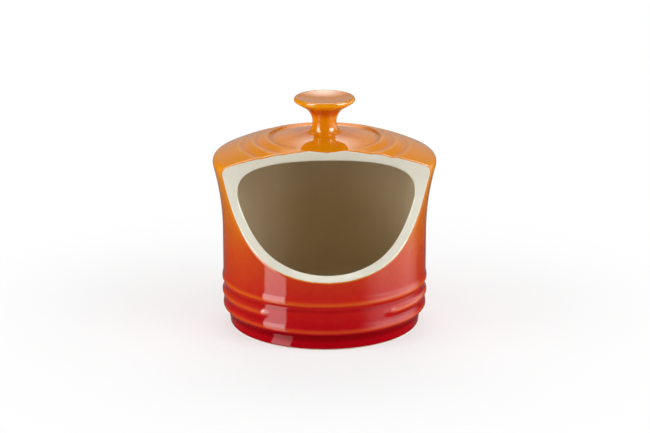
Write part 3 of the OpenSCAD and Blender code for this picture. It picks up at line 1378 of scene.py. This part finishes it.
    def build(self) -> bpy.types.Object:
        """Wraps the coat and adds the coat in the hollow of the foot.

        Returns:
            The piece.
        """
        s = self.rows(self.low_step, self.high_step)
        r, z = (v[:, None] for v in self.outline.at(s))
        a = self.angles(s)
        z = np.broadcast_to(z, a.shape)
        bumped = np.broadcast_to(r, a.shape) + self.size.rib_proud * self.middle_rib(a, z)
        tints = {Tint.THIN: self.thinness(bumped, a, z)}
        piece = Workbench.wrapped("outer_coat", self.turned(bumped, a, z), tints)
        Workbench.join(piece, [self.base()])
        return piece

    def base(self) -> bpy.types.Object:
        """Wraps the coat in the hollow of the foot.

        Returns:
            The piece.
        """
        k = self.size
        rim_rows, flat_rows = self.base_rows
        out = k.foot_r - k.foot_ring_w
        rim = out - self.base_round * (1 - np.cos(np.linspace(0, np.pi / 2, rim_rows)))
        r = np.concatenate([rim, np.linspace(out - self.base_round, 0, flat_rows)[1:]])
        hang = (1 - np.clip((out - r) / self.base_round, 0, 1)) ** 2
        z = k.foot_hollow - k.glaze_t - self.base_hang * hang
        a = np.linspace(0, 2 * np.pi, self.base_columns + 1)[None, :].repeat(len(r), 0)
        points = self.turned(r[:, None] * np.ones_like(a), a, z[:, None] * np.ones_like(a))
        return Workbench.wrapped("base_coat", points, {Tint.THIN: np.zeros_like(a)})


@dataclass
class InnerCoat(Coat):
    """The pale coat on the floor, wall and ceiling inside.

    Attributes:
        columns: Columns round the keeper.
        row_step: Spacing of the rows below the mouth and above it.
    """

    columns: int = 120
    row_step: float = 1.2

    def build(self) -> bpy.types.Object:
        """Wraps the coat with its faces towards the inside of the keeper.

        Returns:
            The piece.
        """
        s = self.rows(self.row_step, self.row_step)
        r, z = (v[:, None] for v in self.outline.at(s))
        a = self.angles(s)
        points = self.turned(np.broadcast_to(r, a.shape), a, np.broadcast_to(z, a.shape))
        piece = Workbench.wrapped("inner_coat", points, {})
        Workbench.flip(piece)
        return piece


@dataclass
class Lip:
    """The rounded edge swept round the mouth, between the two coats.

    Attributes:
        size: Sizes of the keeper.
        outside: Outline of the outside.
        inside: Outline of the inside.
        scoop: The cut of the mouth.
        steps: Steps along one side of the mouth.
        bend: Steps round each of its edges.
        flat: Lines of points on its face, between the edges.
    """

    size: KeeperSizes
    outside: Outline
    inside: Outline
    scoop: Scoop
    steps: int = 240
    bend: int = 8
    flat: int = 6

    def rail(self, bend_r: float, turn: float, outer: bool) -> np.ndarray:
        """A line of points along one of the lip's rounded edges.

        Args:
            bend_r: Radius of the edge.
            turn: Angle round the edge, from 0 at the coat to a right angle at the face of the lip.
            outer: Whether it is the outer edge or the inner one.

        Returns:
            Points from low to high on the right-hand side.
        """
        depth, inset = bend_r * (1 - math.sin(turn)), bend_r * (1 - math.cos(turn))
        o = self.scoop.edge_points(self.outside, depth, self.steps)
        i = self.scoop.edge_points(self.inside, depth, self.steps)
        across = (i - o) / np.linalg.norm(i - o, axis=1)[:, None]
        return o + across * inset if outer else i - across * inset

    def build(self) -> bpy.types.Object:
        """Sweeps the section up one side of the mouth and down the other.

        Returns:
            The piece.
        """
        k = self.size
        turns = np.linspace(0, np.pi / 2, self.bend + 1)
        outer = [self.rail(k.lip_outer_round, turn, True) for turn in turns]
        inner = [self.rail(k.lip_inner_round, turn, False) for turn in turns[::-1]]
        shares = np.linspace(0, 1, self.flat + 2)[1:-1, None, None]
        face = outer[-1] * (1 - shares) + inner[0] * shares
        right = np.stack([*outer, *face, *inner], axis=1)
        left = right[-2:0:-1] * np.array([-1.0, 1.0, 1.0])
        ring = np.concatenate([right, left, right[:1]])
        steps = np.linalg.norm(np.diff(ring, axis=1), axis=2)
        across = np.concatenate([np.zeros((len(ring), 1)), np.cumsum(steps, axis=1)], axis=1)
        return Workbench.wrapped("lip_edge", ring, {Tint.ACROSS: across})


@dataclass
class SaltKeeper:
    """The whole keeper: its coats and lip on the clay of the frame."""

    size: KeeperSizes = field(default_factory=KeeperSizes)

    def __post_init__(self) -> None:
        """Draws the outlines that the pieces share."""
        drawing = Drawing(self.size)
        self.outside = drawing.outside()
        self.inside = drawing.inside()
        self.scoop = Scoop(self.size)

    def build(self) -> None:
        """Builds and dresses every piece."""
        k = self.size
        coat = OuterCoat(k, self.outside, self.scoop, k.lip_outer_round)
        lining = InnerCoat(k, self.inside, self.scoop, k.lip_inner_round)
        lip = Lip(k, self.outside, self.inside, self.scoop)
        self.dress(coat.build(), Node.OUTSIDE, FlameGlaze().material())
        self.dress(lining.build(), Node.INSIDE, StoneGlaze().material())
        self.dress(lip.build(), Node.LIP, CreamGlaze().material())
        clay = BareClay().material()
        for node in (Node.POT, Node.DOME, Node.KNOB):
            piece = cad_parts[node.value]
            piece.data.materials.clear()
            piece.data.materials.append(clay)

    def dress(self, piece: bpy.types.Object, node: Node, material: bpy.types.Material) -> None:
        """Gives a piece its finish and puts it in the place of a solid.

        Args:
            piece: The piece.
            node: The solid that it stands for.
            material: The finish.
        """
        piece.data.materials.clear()
        piece.data.materials.append(material)
        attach(piece, BODY)
        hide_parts(node.value)
        LOG.info("%s: %d faces", piece.name, len(piece.data.polygons))


@dataclass(frozen=True)
class Glow:
    """A bright part of the room that shows in the glaze, given by its directions in degrees.

    Attributes:
        turn: Direction of its middle from the front, to the right.
        half: Half its width, and how softly its sides end.
        low: Height of its lower end, and how softly it ends.
        high: Height of its upper end, and how softly it ends.
        glow: Brightness.
    """

    turn: float
    half: tuple[float, float]
    low: tuple[float, float]
    high: tuple[float, float]
    glow: float

    def brightness(self, n: Nodes, way: Socket) -> Socket:
        """Adds the nodes that give its brightness along a direction.

        Args:
            n: The world's nodes.
            way: The direction.

        Returns:
            The brightness.
        """
        x, y, z = (n.axis(way, letter) for letter in "XYZ")
        a = math.radians(self.turn)
        flat = n.reach(x, y)
        facing = n.math("SUBTRACT", n.math("MULTIPLY", x, math.sin(a)), n.math("MULTIPLY", y, math.cos(a)))
        apart = n.math("DEGREES", n.math("ARCCOSINE", n.math("DIVIDE", facing, flat)))
        lift = n.math("DEGREES", n.math("ARCTAN2", z, flat))
        side = n.spread(apart, self.half[0] - self.half[1], self.half[0] + self.half[1], 1.0, 0.0)
        foot = n.spread(lift, self.low[0] - self.low[1], self.low[0] + self.low[1])
        head = n.spread(lift, self.high[0] - self.high[1], self.high[0] + self.high[1], 1.0, 0.0)
        return n.math("MULTIPLY", n.math("MULTIPLY", side, n.math("MULTIPLY", foot, head)), self.glow)


@dataclass(frozen=True)
class Lamp:
    """A soft lamp that faces the keeper.

    Attributes:
        name: Name of the lamp.
        turn: Degrees from the front, to the right.
        height: Height of its middle in metres.
        away: Distance from the axis in metres.
        size: Width and height in metres.
        glow: Brightness of its face.
        mirrored: Whether it stands upright and shows in the glaze alone. If not, it lights the colours alone.
        aim_z: Height in metres that it is aimed at where it lights the colours.
    """

    name: str
    turn: float
    height: float
    away: float
    size: tuple[float, float]
    glow: float
    mirrored: bool = False
    aim_z: float = 0.06

    def hang(self) -> None:
        """Hangs the lamp and aims it at the keeper."""
        a = math.radians(self.turn)
        place = Vector((self.away * math.sin(a), -self.away * math.cos(a), self.height))
        aim = Vector((0, 0, self.height if self.mirrored else self.aim_z))
        data = bpy.data.lights.new(self.name, "AREA")
        data.shape = "RECTANGLE"
        data.size, data.size_y = self.size
        data.energy = self.glow * math.pi * self.size[0] * self.size[1]
        lamp = bpy.data.objects.new(self.name, data)
        lamp.location = place
        lamp.rotation_euler = (aim - place).to_track_quat("-Z", "Y").to_euler()
        lamp.visible_camera = False
        lamp.visible_glossy = self.mirrored
        lamp.visible_diffuse = not self.mirrored
        bpy.context.scene.collection.objects.link(lamp)


@dataclass(frozen=True)
class View:
    """The camera, fitted to the keeper's outline in the photograph.

    Attributes:
        turn: Degrees from the front, to the right.
        tilt: Degrees that it looks down.
        away: Distance from the place that it is fitted to, in metres.
        look_z: Height of that place on the axis, in metres.
        lens: Focal length in millimetres.
        sensor: Width of the sensor in millimetres.
        picture_w: Width of the picture in pixels.
        right_px: How far to the right of that place it is aimed, in pixels.
        down_px: How far under that place it is aimed, in pixels.
    """

    turn: float = -2.4
    tilt: float = 16.8
    away: float = 1.222
    look_z: float = 0.0608
    lens: float = 124.8
    sensor: float = 36.0
    picture_w: int = 650
    right_px: float = 0.5
    down_px: float = 4.1

    def stand(self) -> None:
        """Stands the camera where the keeper is seen as in the photograph."""
        turn, tilt = math.radians(self.turn), math.radians(self.tilt)
        back = Vector((math.sin(turn) * math.cos(tilt), -math.cos(turn) * math.cos(tilt), math.sin(tilt)))
        right = Vector((math.cos(turn), math.sin(turn), 0))
        look = Vector((0, 0, self.look_z))
        pixel = self.away / (self.lens / self.sensor * self.picture_w)
        aim = look + right * (self.right_px * pixel) - back.cross(right) * (self.down_px * pixel)
        data = bpy.data.cameras.new("camera")
        data.sensor_width = self.sensor
        data.lens = self.lens
        camera = bpy.data.objects.new("camera", data)
        camera.location = look + back * self.away
        camera.rotation_euler = (aim - camera.location).to_track_quat("-Z", "Y").to_euler()
        bpy.context.scene.collection.objects.link(camera)
        bpy.context.scene.camera = camera


@dataclass
class Studio:
    """Paper, light and camera round the keeper.

    Attributes:
        floor_m: Width of the paper.
        floor_sides: Sides of the paper, which is nearly round.
        border_m: Width of its border.
        room: Brightness of the whole room.
        glows: Bright parts of the room that show in the glaze alone.
        lamps: The lamps.
    """

    floor_m: float = 9.0
    floor_sides: int = 96
    border_m: float = 0.6
    room: float = 0.03
    glows: tuple[Glow, ...] = (
        Glow(-60.0, (13.5, 1.5), (-38, 18), (-5, 3), 2.6),
        Glow(-60.0, (13.5, 1.5), (-6, 4), (24, 6), 5.6),
        Glow(-62.0, (15.0, 4.0), (20, 6), (68, 8), 12.0),
        Glow(84.0, (34.0, 16.0), (-20, 6), (-4, 4), 1.5),
        Glow(92.0, (40.0, 18.0), (-7, 4), (22, 8), 1.7),
        Glow(67.0, (16.0, 16.0), (20, 8), (54, 12), 8.5),
        Glow(180.0, (35.0, 20.0), (-60, 20), (0, 10), 0.08),
        Glow(178.0, (12.0, 10.0), (-28, 8), (24, 8), 0.20),
        Glow(178.0, (24.0, 14.0), (-6, 8), (24, 8), 0.10),
        Glow(178.0, (28.0, 14.0), (4, 18), (57, 5), 0.27),
        Glow(177.0, (8.0, 7.0), (30, 10), (52, 6), 4.3),
        Glow(180.0, (75.0, 20.0), (46, 8), (100, 1), 2.2),
        Glow(180.0, (6.0, 5.0), (40, 5), (57, 5), 3.2),
    )
    lamps: tuple[Lamp, ...] = (
        Lamp("soft_right", 69.0, 0.26, 0.26, (0.19, 0.16), 9.0, mirrored=True),
        Lamp("box_left", -78.0, 0.36, 1.20, (0.8, 0.8), 5.5),
        Lamp("box_right", 78.0, 0.36, 1.20, (0.8, 0.8), 3.5),
        Lamp("fill_left", -55.0, 0.32, 1.20, (0.5, 0.5), 4.4),
        Lamp("fill_right", 54.0, 0.52, 1.20, (0.7, 0.7), 5.4),
        Lamp("box_top", 0.0, 1.30, 0.25, (0.6, 0.6), 2.7),
        Lamp("box_back", 178.0, 1.00, 0.95, (0.9, 0.6), 4.0),
    )

    def build(self) -> None:
        """Sets up everything round the keeper."""
        self.lay_paper()
        self.light()
        View().stand()

    def lay_paper(self) -> None:
        """Lays the paper as a flat, nearly round sheet with a border."""
        Workbench.clear()
        bpy.ops.mesh.primitive_circle_add(
            vertices=self.floor_sides, radius=self.floor_m / 2, fill_type="NGON")
        floor = bpy.context.object
        floor.name = floor.data.name = "paper_floor"
        bpy.ops.object.mode_set(mode="EDIT")
        bpy.ops.mesh.select_all(action="SELECT")
        bpy.ops.mesh.inset(thickness=self.border_m)
        bpy.ops.object.mode_set(mode="OBJECT")
        floor.data.materials.append(WhitePaper().material())
        floor.visible_glossy = False

    def light(self) -> None:
        """Hangs the lamps in a dim room, whose bright parts show in the glaze alone."""
        world = bpy.data.worlds.new("room")
        world.use_nodes = True
        n = Nodes(world.node_tree)
        way = n.add("ShaderNodeTexCoord").outputs["Generated"]
        total: object = 0.0
        for glow in self.glows:
            total = n.math("ADD", glow.brightness(n, way), total)
        in_glaze = n.add("ShaderNodeLightPath").outputs["Is Glossy Ray"]
        total = n.math("ADD", n.math("MULTIPLY", total, in_glaze), self.room)
        back = world.node_tree.nodes["Background"]
        back.inputs["Color"].default_value = (1, 1, 1, 1)
        n.feed(back.inputs["Strength"], total)
        bpy.context.scene.world = world
        for lamp in self.lamps:
            lamp.hang()


def main() -> None:
    """Builds the keeper and its studio."""
    logging.basicConfig(level=logging.INFO, format="%(name)s %(message)s")
    bpy.context.scene.view_settings.view_transform = "Standard"
    SaltKeeper().build()
    Studio().build()


if __name__ == "__main__":
    main()
